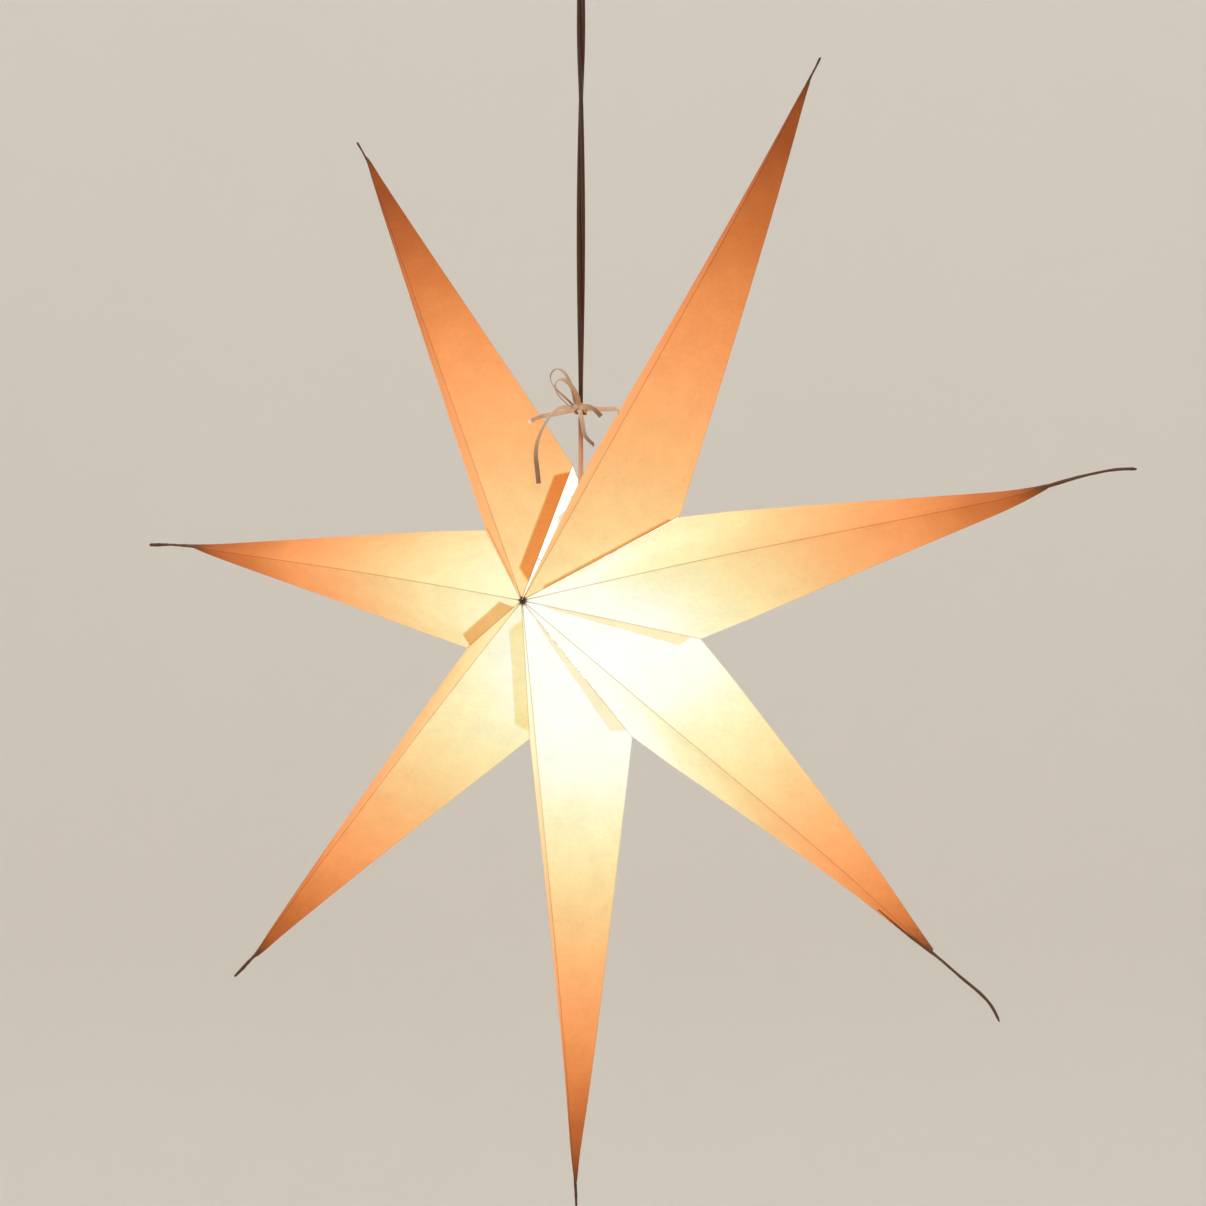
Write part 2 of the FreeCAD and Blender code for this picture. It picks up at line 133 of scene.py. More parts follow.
def makePiece(name, points, faces, body, material, values=None, uv=None, fan=()):
    # puts arrays of points and quads into a mesh; fan holds rings of indices that close an end
    mesh = bpy.data.meshes.new(name)
    mesh.from_pydata(np.asarray(points, float), [], np.asarray(faces).tolist() + [list(map(int, f)) for f in fan])
    mesh.validate()
    mesh.update()
    for label, data in (values or {}).items():
        layer = mesh.attributes.new(label, "FLOAT", "POINT")
        layer.data.foreach_set("value", np.asarray(data, np.float32).ravel())
    if uv is not None:
        corner = np.empty(len(mesh.loops), np.int32)
        mesh.loops.foreach_get("vertex_index", corner)
        mesh.uv_layers.new(name="run").data.foreach_set("uv", np.asarray(uv, np.float32)[corner].ravel())
    mesh.shade_smooth()
    piece = bpy.data.objects.new(name, mesh)
    scene.collection.objects.link(piece)
    mesh.materials.append(material)
    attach(piece, body)
    return piece


def routePath(name, route, count, scale=mm, origin=(0, 0, 0)):
    # evenly spaced points along the smooth spline whose control points are the route
    curve = bpy.data.curves.new(name + "_route", "CURVE")
    curve.dimensions = "3D"
    spline = curve.splines.new("NURBS")
    control = np.array(route, float) * scale + np.array(origin)
    spline.points.add(len(control) - 1)
    spline.points.foreach_set("co", np.c_[control, np.ones(len(control))].ravel())
    spline.order_u = 3
    spline.use_endpoint_u = True
    spline.resolution_u = 24
    holder = bpy.data.objects.new(name + "_route", curve)
    line = bpy.data.meshes.new_from_object(holder)
    raw = np.empty(len(line.vertices) * 3)
    line.vertices.foreach_get("co", raw)
    raw = raw.reshape(-1, 3)
    bpy.data.objects.remove(holder)
    bpy.data.meshes.remove(line)
    bpy.data.curves.remove(curve)
    travelled = np.r_[0, np.cumsum(np.linalg.norm(np.diff(raw, axis=0), axis=1))]
    at = np.linspace(0, travelled[-1], count)
    return np.stack([np.interp(at, travelled, raw[:, k]) for k in range(3)], 1), travelled[-1]


def sweep(path, outline, widthWay, turn=0.0, scale=1.0):
    # carries an outline (n, 2) along a path: its x lies along widthWay as far as the path allows, turned by turn
    tangent = np.gradient(path, axis=0)
    tangent /= np.linalg.norm(tangent, axis=1, keepdims=True)
    widthWay = np.broadcast_to(np.asarray(widthWay, float), path.shape)
    wide = widthWay - tangent * np.sum(widthWay * tangent, 1, keepdims=True)
    wide /= np.linalg.norm(wide, axis=1, keepdims=True)
    deep = np.cross(tangent, wide)
    turn = np.broadcast_to(turn, len(path))[:, None]
    across = wide * np.cos(turn) + deep * np.sin(turn)
    upright = deep * np.cos(turn) - wide * np.sin(turn)
    size = np.broadcast_to(scale, len(path))[:, None, None]
    ring = outline[None, :, :1] * across[:, None] + outline[None, :, 1:] * upright[:, None]
    return path[:, None] + ring * size


def sweptPiece(name, path, outline, widthWay, body, material, slot, turn=0.0, scale=1.0, tone=None):
    # closed solid along a path with u along the run and v round the outline, both in millimetres; share goes
    # from 0 to 1 along it, unless a shade level along the path is given in its place; it sets painted light and shade
    rings = sweep(path, outline, widthWay, turn, scale)
    rows, columns = rings.shape[:2]
    faces = gridFaces(rows, columns, wrap=True)
    ends = [np.arange(columns)[::-1], (rows - 1) * columns + np.arange(columns)]
    run = np.r_[0, np.cumsum(np.linalg.norm(np.diff(path, axis=0), axis=1))] / mm
    girth = np.r_[0, np.cumsum(np.linalg.norm(np.diff(outline, axis=0), axis=1))] / mm
    uv = np.stack(np.meshgrid(run, girth, indexing="ij"), -1).reshape(-1, 2)
    share = np.repeat(np.linspace(0, 1, rows) if tone is None else np.broadcast_to(tone, rows), columns)
    piece = makePiece(name, rings.reshape(-1, 3), faces, body, material, {"share": share}, uv, ends)
    piece.data.set_sharp_from_angle(angle=math.radians(50))
    return piece


def roundedOutline(width, depth, radius, steps=5):
    # rectangle with rounded corners, counter-clockwise
    corner = np.array([[1, 1], [-1, 1], [-1, -1], [1, -1]])
    angle = np.linspace(0, math.pi / 2, steps)
    arcs = [np.c_[np.cos(angle + k * math.pi / 2), np.sin(angle + k * math.pi / 2)] * radius
            + corner[k] * [width / 2 - radius, depth / 2 - radius] for k in range(4)]
    return np.concatenate(arcs)


def roundedProfile(profile, radius, steps=4):
    # profile corners replaced by short arcs: each is a quadratic curve between points set back from the corner
    points = np.array(profile, float)
    start, end = (points + way / length * np.minimum(radius, length * 0.45) for way, length in (
        (way, np.linalg.norm(way, axis=1, keepdims=True)) for way in
        (np.roll(points, 1, 0) - points, np.roll(points, -1, 0) - points)))
    t = np.linspace(0, 1, steps)[None, :, None]
    arc = start[:, None] * (1 - t) ** 2 + 2 * points[:, None] * t * (1 - t) + end[:, None] * t ** 2
    return arc.reshape(-1, 2)


def denser(profile, step):
    # closed profile with more points along its sides, about a step apart, corners kept
    points = np.array(profile, float)
    after = np.roll(points, -1, 0)
    parts = np.maximum(1, np.ceil(np.linalg.norm(after - points, axis=1) / step)).astype(int)
    return np.concatenate([a + (b - a) * np.linspace(0, 1, n, endpoint=False)[:, None]
                           for a, b, n in zip(points, after, parts)])


def lathe(name, profile, body, material, segments=96, ripple=None, solid=False):
    # profile of (radius, height) in millimetres turned about the vertical axis; ripple(angle, radius, height) is
    # added to the radius. A solid's profile starts and ends close to the axis and is capped there.
    profile = np.asarray(profile, float)
    r, z = profile.T
    if np.sum(r * np.roll(z, -1) - np.roll(r, -1) * z) < 0:
        profile = profile[::-1]
    count = len(profile)
    angle = np.linspace(0, fullTurn, segments, endpoint=False)
    radius, height = np.repeat(profile[:, :1], segments, 1), np.repeat(profile[:, 1:], segments, 1)
    turn = np.broadcast_to(angle, radius.shape)
    if ripple is not None:
        radius = radius + ripple(turn, radius, height)
    points = np.stack([radius * np.cos(turn), radius * np.sin(turn), height], -1).reshape(-1, 3) * mm
    faces = gridFaces(count if solid else count + 1, segments, wrap=True) % (count * segments)
    ring = np.arange(segments)
    caps = [ring[::-1], (count - 1) * segments + ring] if solid else []
    piece = makePiece(name, points, faces, body, material, fan=caps)
    piece.data.set_sharp_from_angle(angle=math.radians(40))
    return piece


# helpers for materials
def feed(tree, socket, value):
    if isinstance(value, bpy.types.NodeSocket):
        tree.links.new(value, socket)
    else:
        socket.default_value = value


def calc(tree, operation, *values, clamp=False):
    node = tree.nodes.new("ShaderNodeMath")
    node.operation, node.use_clamp = operation, clamp
    for socket, value in zip(node.inputs, values):
        feed(tree, socket, value)
    return node.outputs[0]


def times(tree, first, second, clamp=False):
    return calc(tree, "MULTIPLY", first, second, clamp=clamp)


def minus(tree, first, second):
    return calc(tree, "SUBTRACT", first, second)


def swayed(tree, value, middle, gain, base):
    # base plus gain times how far value lies from the middle
    return calc(tree, "MULTIPLY_ADD", minus(tree, value, middle), gain, base)


def mixed(tree, blend, factor, first, second):
    node = tree.nodes.new("ShaderNodeMix")
    node.data_type, node.blend_type = "RGBA", blend
    for place, value in ((0, factor), (6, first), (7, second)):
        feed(tree, node.inputs[place], value)
    return node.outputs[2]


def eased(tree, value, start, end, first=0.0, last=1.0):
    # smooth change from first to last while value goes from start to end
    node = tree.nodes.new("ShaderNodeMapRange")
    node.interpolation_type = "SMOOTHSTEP"
    for socket, given in zip(node.inputs, (value, start, end, first, last)):
        feed(tree, socket, given)
    return node.outputs[0]


def ramp(tree, value, stops):
    node = tree.nodes.new("ShaderNodeValToRGB")
    elements = node.color_ramp.elements
    while len(elements) < len(stops):
        elements.new(0.5)
    for element, (place, colour) in zip(elements, stops):
        element.position, element.color = place, (*colour, 1)
    feed(tree, node.inputs[0], value)
    return node.outputs[0]


def labelled(tree, kind, **values):
    node = tree.nodes.new("ShaderNode" + kind)
    for label, value in values.items():
        feed(tree, node.inputs[label], value)
    return node.outputs[0]


def noise(tree, vector, scale, detail=2.0, roughness=0.5):
    return labelled(tree, "TexNoise", Vector=vector, Scale=scale, Detail=detail, Roughness=roughness)


def stretched(tree, vector, scale):
    return labelled(tree, "Mapping", Vector=vector, Scale=scale)


def bump(tree, height, strength, distance):
    return labelled(tree, "Bump", Height=height, Strength=strength, Distance=distance)


def coords(tree, kind="Object"):
    return tree.nodes.new("ShaderNodeTexCoord").outputs[kind]


def attribute(tree, label):
    node = tree.nodes.new("ShaderNodeAttribute")
    node.attribute_name = label
    return node.outputs["Fac"]


def newGroup(name, inputs, outputs):
    group = bpy.data.node_groups.new(name, "ShaderNodeTree")
    for label, value in inputs.items():
        kind = "NodeSocketVector" if value is None else "NodeSocketFloat"
        socket = group.interface.new_socket(label, in_out="INPUT", socket_type=kind)
        if value is not None:
            socket.default_value = value
    for label in outputs:
        group.interface.new_socket(label, in_out="OUTPUT", socket_type="NodeSocketFloat")
    start, end = group.nodes.new("NodeGroupInput"), group.nodes.new("NodeGroupOutput")
    return group, start.outputs, end.inputs


def placed(tree, group, **values):
    node = tree.nodes.new("ShaderNodeGroup")
    node.node_tree = group
    for label, value in values.items():
        feed(tree, node.inputs[label], value)
    return node.outputs


def shining(tree, shader, colour):
    for label in ("Base Color", "Emission Color"):
        feed(tree, shader[label], colour)


def newMaterial(name, **settings):
    material = bpy.data.materials.new(name)
    material.use_nodes = True
    tree = material.node_tree
    shader = tree.nodes["Principled BSDF"]
    for label, value in settings.items():
        shader.inputs[label.replace("_", " ")].default_value = value
    return material, tree, shader.inputs


# grain: cloudy shade and fine tooth, for paper, plastic and metal alike
grain, given, result = newGroup("grain", {"Vector": None, "Cloud": 60.0, "Tooth": 900.0, "Amount": 0.1},
                                ["Shade", "Height"])
cloud = noise(grain, given["Vector"], given["Cloud"], 3.0, 0.6)
tooth = noise(grain, given["Vector"], given["Tooth"], 2.0, 0.5)
both = calc(grain, "ADD", times(grain, cloud, 0.6), times(grain, tooth, 0.4))
feed(grain, result["Shade"], swayed(grain, both, 0.5, given["Amount"], 1.0))
feed(grain, result["Height"], tooth)

# nearLine: 1 within a width of a line, easing off over a softness
nearLine, given, result = newGroup("nearLine", {"Distance": 1.0, "Width": 0.5, "Softness": 0.3}, ["Mask"])
feed(nearLine, result["Mask"], eased(nearLine, given["Distance"], given["Width"],
                                     calc(nearLine, "ADD", given["Width"], given["Softness"]), 1.0, 0.0))

# weave: crossing threads from a run in millimetres along u and v
weave, given, result = newGroup("weave", {"Vector": None, "Threads": 2.2}, ["Shade", "Height"])
split = weave.nodes.new("ShaderNodeSeparateXYZ")
feed(weave, split.inputs[0], given["Vector"])
alongWave, acrossWave = (
    calc(weave, "SINE", times(weave, split.outputs[k], times(weave, given["Threads"], fullTurn))) for k in (0, 1))
crossing = calc(weave, "MULTIPLY_ADD", times(weave, alongWave, acrossWave), 0.5, 0.5)
feed(weave, result["Height"], crossing)
feed(weave, result["Shade"], calc(weave, "MULTIPLY_ADD", crossing, 0.3, 0.8))

paperLook = {
    # colour of the lit paper against its distance from the lamp in millimetres
    "stops": ((60, (1.05, 1.05, 0.96)), (84, (1.03, 1.03, 0.86)), (106, (1.01, 0.95, 0.60)), (124, (1.0, 0.87, 0.48)),
              (143, (1.0, 0.775, 0.377)), (168, (0.974, 0.611, 0.262)), (192, (0.99, 0.491, 0.188)),
              (216, (0.99, 0.402, 0.145)), (240, (0.90, 0.320, 0.098)), (265, (0.68, 0.200, 0.050)),
              (288, (0.50, 0.132, 0.030)), (320, (0.33, 0.078, 0.016))),
    "near": 50.0, "span": 290.0,
    "litShare": 0.80, "bodyShare": 0.22,
}


def paperMaterial():
    material, tree, shader = newMaterial("paper", Roughness=0.82, Specular_IOR_Level=0.15,
                                         Emission_Strength=paperLook["litShare"])
    grained = placed(tree, grain, Vector=coords(tree), Cloud=70.0, Tooth=420.0, Amount=0.30)
    fibre = noise(tree, stretched(tree, coords(tree), (90.0, 90.0, 420.0)), 1.0, 3.0, 0.6)
    light = swayed(tree, noise(tree, coords(tree), 26.0, 2.0), 0.5, 0.05, attribute(tree, "glow"))
    colour = ramp(tree, light, [((d - paperLook["near"]) / paperLook["span"], c) for d, c in paperLook["stops"]])
    shade = times(tree, grained["Shade"], swayed(tree, fibre, 0.5, 0.07, 1.0))
    colour = mixed(tree, "MULTIPLY", 1.0, colour, shade)
    # painted shade where a flap is glued behind, as the doubled paper lets less lamp light through: a warmer, darker
    # band with a darker far edge and slanted ends
    across, along, rest = (attribute(tree, label) for label in ("valleyGap", "valleyRun", "valleyRest"))
    width, tone = attribute(tree, "flapWidth"), attribute(tree, "flapShadeAmount")
    startSlant, endSlant = times(tree, across, 0.9), times(tree, across, 0.8)
    within = times(tree, eased(tree, minus(tree, along, startSlant), 12.0, 15.5),
                   eased(tree, minus(tree, rest, endSlant), 4.0, 6.5))
    within = times(tree, within, tone)
    past = minus(tree, across, width)
    inside = placed(tree, nearLine, Distance=past, Width=-0.9, Softness=1.7)["Mask"]
    edge = placed(tree, nearLine, Distance=calc(tree, "ABSOLUTE", past), Width=0.1, Softness=0.7)["Mask"]
    band, rim = times(tree, within, inside, clamp=True), times(tree, within, edge, clamp=True)
    for amount, tint in ((times(tree, band, 2.0, clamp=True), (0.95, 0.80, 0.47, 1)),
                         (calc(tree, "MULTIPLY_ADD", band, 2.0, -1.0, clamp=True), (0.86, 0.50, 0.42, 1)),
                         (times(tree, rim, 0.5), (0.70, 0.58, 0.42, 1))):
        colour = mixed(tree, "MULTIPLY", amount, colour, tint)
    # painted shade along the creases: thin greyish lines where the folded paper passes less lamp light, heavier close
    # to the apex
    apex = attribute(tree, "apexGap")
    close = eased(tree, apex, 2.0, 15.0, 1.0, 0.0)
    for label, wide, soft, strength in (("ridgeGap", 0.30, 0.45, 0.62), ("valleyGap", 0.15, 0.55, 0.55),
                                        ("outlineGap", 0.10, 0.45, 0.35)):
        mask = placed(tree, nearLine, Distance=attribute(tree, label), Width=wide, Softness=soft)["Mask"]
        amount = times(tree, mask, calc(tree, "MULTIPLY_ADD", close, 0.4, strength), clamp=True)
        colour = mixed(tree, "MULTIPLY", amount, colour, (0.50, 0.40, 0.30, 1))
    # painted shade: the paper is drawn darkening to brown where it is gathered, as little lamp light gets through, and
    # a dark spot is painted at the pinched apex
    gatheredShade = eased(tree, swayed(tree, fibre, 0.5, 12.0, attribute(tree, "endGap")), 0.0, 22.0, 0.80, 0.0)
    colour = mixed(tree, "MIX", gatheredShade, colour, (0.16, 0.050, 0.012, 1))
    apexShade = eased(tree, calc(tree, "MULTIPLY_ADD", fibre, 2.5, apex), 3.2, 5.6, 0.95, 0.0)
    colour = mixed(tree, "MIX", apexShade, colour, (0.045, 0.014, 0.004, 1))
    feed(tree, shader["Emission Color"], colour)
    # the base colour carries the same painted lamp light, at a lower share
    body = times(tree, grained["Shade"], paperLook["bodyShare"])
    feed(tree, shader["Base Color"], mixed(tree, "MULTIPLY", 1.0, colour, body))
    feed(tree, shader["Roughness"], calc(tree, "MULTIPLY_ADD", fibre, 0.15, 0.75))
    height = calc(tree, "ADD", grained["Height"], fibre)
    feed(tree, shader["Normal"], bump(tree, height, 0.25, 0.0003))
    return material


def twistMaterial():
    material, tree, shader = newMaterial("paper_twist", Roughness=0.7, Emission_Strength=0.35)
    run = coords(tree, "UV")
    streak = noise(tree, stretched(tree, run, (0.12, 1.6, 1.0)), 1.0, 3.0, 0.6)
    # painted shade: the twisted paper is drawn dark brown as little lamp light gets through it, lighter where it
    # leaves the lit paper; the emission paints a faint glow
    colour = ramp(tree, attribute(tree, "share"), [(0.0, (0.20, 0.070, 0.018)), (0.25, (0.085, 0.026, 0.006)),
                                                   (1.0, (0.050, 0.016, 0.005))])
    colour = mixed(tree, "MULTIPLY", 1.0, colour, calc(tree, "MULTIPLY_ADD", streak, 1.3, 0.35))
    shining(tree, shader, colour)
    feed(tree, shader["Normal"], bump(tree, streak, 0.6, 0.0004))
    return material


def tapeMaterial():
    material, tree, shader = newMaterial("cotton_tape", Roughness=0.85, Sheen_Weight=0.25, Sheen_Roughness=0.5)
    woven = placed(tree, weave, Vector=coords(tree, "UV"), Threads=1.6)
    grained = placed(tree, grain, Vector=coords(tree), Cloud=120.0, Tooth=2500.0, Amount=0.35)
    shade = times(tree, woven["Shade"], grained["Shade"])
    # painted light and shade: light tan near the knot, where lamp light from the seam reaches the tape, darkening to
    # brown in shade towards the tails' ends
    litAndShadedCotton = ramp(tree, attribute(tree, "share"), [(0.0, (0.74, 0.54, 0.38)), (0.35, (0.52, 0.35, 0.21)),
                                                   (0.8, (0.24, 0.13, 0.06))])
    feed(tree, shader["Base Color"], mixed(tree, "MULTIPLY", 1.0, litAndShadedCotton, shade))
    feed(tree, shader["Normal"], bump(tree, woven["Height"], 0.5, 0.0003))
    return material


def plasticMaterial(name, colour, roughness, litNearLamp=False, amount=0.12, **settings):
    material, tree, shader = newMaterial(name, **settings)
    grained = placed(tree, grain, Vector=coords(tree), Cloud=70.0, Tooth=1500.0, Amount=amount)
    base = mixed(tree, "MULTIPLY", 1.0, (*colour, 1), grained["Shade"])
    if litNearLamp:  # painted light: the cord is a little lighter and redder near the lamp, where its glow falls on the cord
        base = mixed(tree, "MIX", eased(tree, attribute(tree, "share"), 0.845, 0.925), base, (0.60, 0.33, 0.20, 1))
    feed(tree, shader["Base Color"], base)
    feed(tree, shader["Roughness"], swayed(tree, grained["Shade"], 1.0, 1.2, roughness))
    feed(tree, shader["Normal"], bump(tree, grained["Height"], 0.12, 0.0002))
    return material


def metalMaterial(name, colour, roughness):
    material, tree, shader = newMaterial(name, Metallic=1.0)
    drawnOut = stretched(tree, coords(tree), (1.0, 1.0, 9.0))
    grained = placed(tree, grain, Vector=drawnOut, Cloud=90.0, Tooth=700.0, Amount=0.4)
    feed(tree, shader["Base Color"], mixed(tree, "MULTIPLY", 1.0, (*colour, 1), grained["Shade"]))
    feed(tree, shader["Roughness"], swayed(tree, grained["Shade"], 1.0, 0.9, roughness))
    feed(tree, shader["Normal"], bump(tree, grained["Height"], 0.15, 0.0001))
    return material


def bulbMaterial():
    # opal glass lit from inside, dimmer towards the neck
    material, tree, shader = newMaterial("opal_glass", Roughness=0.25, Emission_Strength=22.0, Coat_Weight=0.5)
    low, high = boxOf("bulb_glass")
    place = tree.nodes.new("ShaderNodeSeparateXYZ")
    feed(tree, place.inputs[0], coords(tree))
    lit = eased(tree, place.outputs[2], float(high[2]), float(low[2]) + 0.6 * float(high[2] - low[2]))
    mottled = calc(tree, "MULTIPLY_ADD", noise(tree, coords(tree), 150.0, 2.0), 0.08, lit)
    colour = ramp(tree, mottled, [(0.0, (0.55, 0.30, 0.12)), (0.6, (1.0, 0.80, 0.50)), (1.0, (1.0, 0.93, 0.75))])
    shining(tree, shader, colour)
    return material


def filamentMaterial():
    material, tree, shader = newMaterial("filament", Roughness=0.5, Emission_Strength=12.0)
    coil = noise(tree, coords(tree), 900.0, 1.0)
    colour = ramp(tree, coil, [(0.3, (1.0, 0.45, 0.12)), (0.7, (1.0, 0.75, 0.4))])
    shining(tree, shader, colour)
    return material


paperFinish, twistFinish, tapeFinish = paperMaterial(), twistMaterial(), tapeMaterial()
cordFinish = plasticMaterial("cord_sheath", (0.055, 0.020, 0.007), 0.5, litNearLamp=True, Specular_IOR_Level=0.25)
holderFinish = plasticMaterial("holder_plastic", (0.74, 0.70, 0.62), 0.38)
insulatorFinish = plasticMaterial("contact_insulator", (0.03, 0.03, 0.035), 0.35)
whiteFinish = plasticMaterial("white_insulator", (0.78, 0.76, 0.70), 0.45)
cupFinish = plasticMaterial("cup_plastic", (0.66, 0.63, 0.57), 0.36, amount=0.10, Coat_Weight=0.15)
brassFinish = metalMaterial("brass", (0.80, 0.56, 0.24), 0.28)
nickelFinish = metalMaterial("nickel", (0.70, 0.67, 0.62), 0.25)
steelFinish = metalMaterial("zinc_steel", (0.62, 0.63, 0.65), 0.35)
glassFinish, filamentFinish = bulbMaterial(), filamentMaterial()
print("materials ready")


# supply cord: flat twin flex that turns slowly on its way down
flex = {"route": [(0, 0, -14.0), (0, 0, -190.0), (0, 0, -370.97)], "wire": 1.3, "web": 155.0, "length": 0.357,
        "blend": 30,
        # height of each turn's mark and its angle in degrees
        "turns": ((-14, 57), (-80, -33), (-123, -123), (-206, -213), (-300, -303), (-371, -318))}
arc = np.radians(np.linspace(-flex["web"], flex["web"], 18))
wire = np.c_[flex["wire"] * (1 + np.cos(arc)), flex["wire"] * np.sin(arc)] * mm
flexOutline = np.concatenate([wire, -wire])
flexPath, flexLength = routePath("flex", flex["route"], 360)
turnHeights, turnAngles = np.array(flex["turns"], float).T
flexTurn = np.radians(np.interp(-flexPath[:, 2] / mm, -turnHeights, turnAngles))
window = np.hanning(2 * flex["blend"] + 1)
flexTurn = np.convolve(np.pad(flexTurn, flex["blend"], mode="edge"), window / window.sum(), "valid")
flexPiece = sweptPiece("flex", flexPath, flexOutline, (1, 0, 0), "hanger", cordFinish, "cord", turn=flexTurn)
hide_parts("supply_cord")
print("supply cord", round(flexLength, 4))

# tie tape: a knot on the cord, a bow of two loops, two tails and a run to each side of the seam
tie = {
    "width": 2.8 * mm, "thick": 0.45 * mm,
    "runs": {
        "tie_loop_upper": {"length": 0.060, "far": "object", "turn": 66, "roll": 16, "route": [
            (0.6, -4.9, 0.4), (-0.2, -5.8, 4.6), (-1.0, -7.2, 9.6), (-2.2, -8.4, 15.6), (-5.4, -9.2, 21.4),
            (-11.2, -9.4, 25.0), (-16.8, -9.0, 21.0), (-15.4, -8.0, 14.6), (-10.6, -7.2, 9.8), (-6.4, -6.4, 6.0),
            (-2.8, -5.4, 2.4), (0.4, -4.9, -0.2)]},
        "tie_loop_lower": {"length": 0.047, "far": "object", "turn": 62, "roll": -18, "route": [
            (1.4, -5.1, -0.6), (3.0, -6.4, 3.6), (2.6, -9.4, 8.4), (0.4, -12.6, 13.6), (-4.4, -14.2, 17.4),
            (-9.8, -14.0, 14.6), (-9.4, -12.4, 8.6), (-6.0, -9.4, 3.8), (-3.2, -6.4, 0.6), (-0.4, -5.1, -0.8)]},
        "tie_tail_left": {"length": 0.068, "far": "bare", "turn": 0, "roll": 35, "route": [
            (-0.6, -5.0, 0.4), (-5.4, -5.0, 0.4), (-10.6, -6.0, 1.4), (-16.0, -6.8, -1.6), (-20.8, -8.0, -8.4),
            (-23.2, -12.0, -17.6), (-20.8, -18.0, -28.2), (-15.8, -23.0, -38.4), (-12.4, -26.6, -47.0)]},
        "tie_tail_right": {"length": 0.0355, "far": "bare", "turn": 0, "roll": -30, "route": [
            (1.6, -4.9, 0.2), (3.6, -5.6, -4.0), (5.6, -7.2, -8.6), (7.6, -9.0, -13.4), (10.4, -12.0, -17.8),
            (15.2, -15.0, -21.8), (20.4, -17.0, -25.2)]},
    },
}
knotLow, knotHigh = boxOf("tie_knot")
knotMiddle = (knotLow + knotHigh) / 2
tapeOutline = roundedOutline(tie["width"], tie["thick"], tie["thick"] * 0.45)


def tapePiece(name, path, widthWay, outline=tapeOutline, **run):
    return sweptPiece(name, path, outline, widthWay, "hanger", tapeFinish, "tape", **run)


# each run's shade level sets its painted light and shade: loops at a middle shade, tails lit near the knot and shaded
# at their ends; the runs to the seam, the wrap and the bow centre lit
for name, run in tie["runs"].items():
    path, length = routePath(name, run["route"], 90, origin=knotMiddle)
    tangent = np.gradient(path, axis=0)
    share = np.linspace(0, 1, len(path))
    roll = np.radians(run["turn"] + run["roll"] * np.sin(share * math.pi * 1.5 + 0.4)) * np.clip(share * 8, 0, 1)
    piece = tapePiece(name + "_ribbon", path, np.cross(tangent, (0, 1, 0)) + 1e-9, turn=roll,
                      tone=share if run["far"] == "bare" else 0.35)
    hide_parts(name)
    print(name, round(length, 4))

for side, node in ((1, "tie_tape_right"), (-1, "tie_tape_left")):
    low, high = boxOf(node)
    inner, outer = (low[0], high[0]) if side > 0 else (high[0], low[0])
    number, lateral = (1, 1) if side > 0 else (7, -1)
    hole, normal = tieHole(lateral, 1)
    overEdge, intoHole = fromRay(number, [hole + normal * 1.2, hole - normal * 1.6])
    edgeCrossing = (np.array([outer, 0, knotMiddle[2] - 2.0 * mm]) + overEdge) / 2 + [0, -0.8 * mm, 0]
    route = [(inner - side * 1.2 * mm, 0, knotMiddle[2]), ((inner + outer) / 2, 0, knotMiddle[2] - 1.6 * mm),
             (outer, -0.4 * mm, knotMiddle[2] - 2.0 * mm), edgeCrossing, overEdge, intoHole]
    path, length = routePath(node, route, 60, scale=1.0)
    piece = tapePiece(node + "_ribbon", path, (0, 0.35, 1), turn=np.linspace(0, side * 0.9, len(path)), tone=0.05)
    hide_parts(node)
    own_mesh(piece)

knot = {"turns": 2.6, "radius": 3.65 * mm, "rise": 1.9 * mm}
turnAngle = np.linspace(0, knot["turns"] * fullTurn, 170)
helix = np.c_[knot["radius"] * np.cos(turnAngle), knot["radius"] * np.sin(turnAngle),
              knot["rise"] * (turnAngle / fullTurn - knot["turns"] / 2)] + knotMiddle
wrap = tapePiece("tie_knot_wrap", helix, (0, 0, 1), turn=0.12 * np.sin(turnAngle), tone=0.25)
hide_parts("tie_knot")
# the bow's centre: a flattened loop of tape over the front of the wraps, as a squared-off torus segment
share = np.linspace(0, 1, 60)
swing = (share - 0.5) * math.pi * 1.5
pinch = np.c_[4.4 * np.sin(swing) - 0.4, -2.2 - 3.9 * np.cos(swing), 1.4 * np.sin(swing * 2)] * mm + knotMiddle
tapePiece("tie_bow_centre", pinch, (0.2, 0, 1), tapeOutline * [1.15, 1.5], tone=0.15)
share = np.linspace(0, 1, 40)
endRoute = [(2.4, -5.0, -0.6), (8.0, -6.6, 0.6), (14.0, -7.2, -1.6), (19.6, -8.0, -7.0)]
dangle = routePath("tie_end", endRoute, len(share), origin=knotMiddle)[0]
tapePiece("tie_end_right", dangle, np.cross(np.gradient(dangle, axis=0), (0, 1, 0)), turn=0.5 * np.sin(share * 4))
print("tie tape ready")

# paper panels
panelLook = {
    "rows": 64, "columns": 17, "thick": 0.3,
    "pillow": 0.15, "waveLeast": 0.6, "waveSwing": 0.4,  # the paper's slight waves, in millimetres and shares
    "pleatDepth": 0.12, "pleats": 9, "pleatRise": 8, "bendRise": 6,  # folds and bend of the gathered end
    "inset": 0.35, "innerStart": 0.002,
}
# the neighbour's flap, glued behind a valley: its grid, and how its ends stand back and slant
flap = {"rows": 16, "columns": 5, "start": 18.0, "lead": 5, "end": 9.0, "spare": 9, "wide": 8.0, "first": 0.02,
        "slant": 0.6, "closing": 1.3, "gap": 0.12}
# the shade's effect fades over a span of millimetres up to its reach; the inner face looks nearer to the lamp
glowLook = {"reach": 290, "span": 200, "most": 1.05, "insideShare": 0.55, "insideAdd": 10}
# ray and side of the two panels at the open seam, which have the tape's holes
seamSides = ((1, 1), (7, -1))
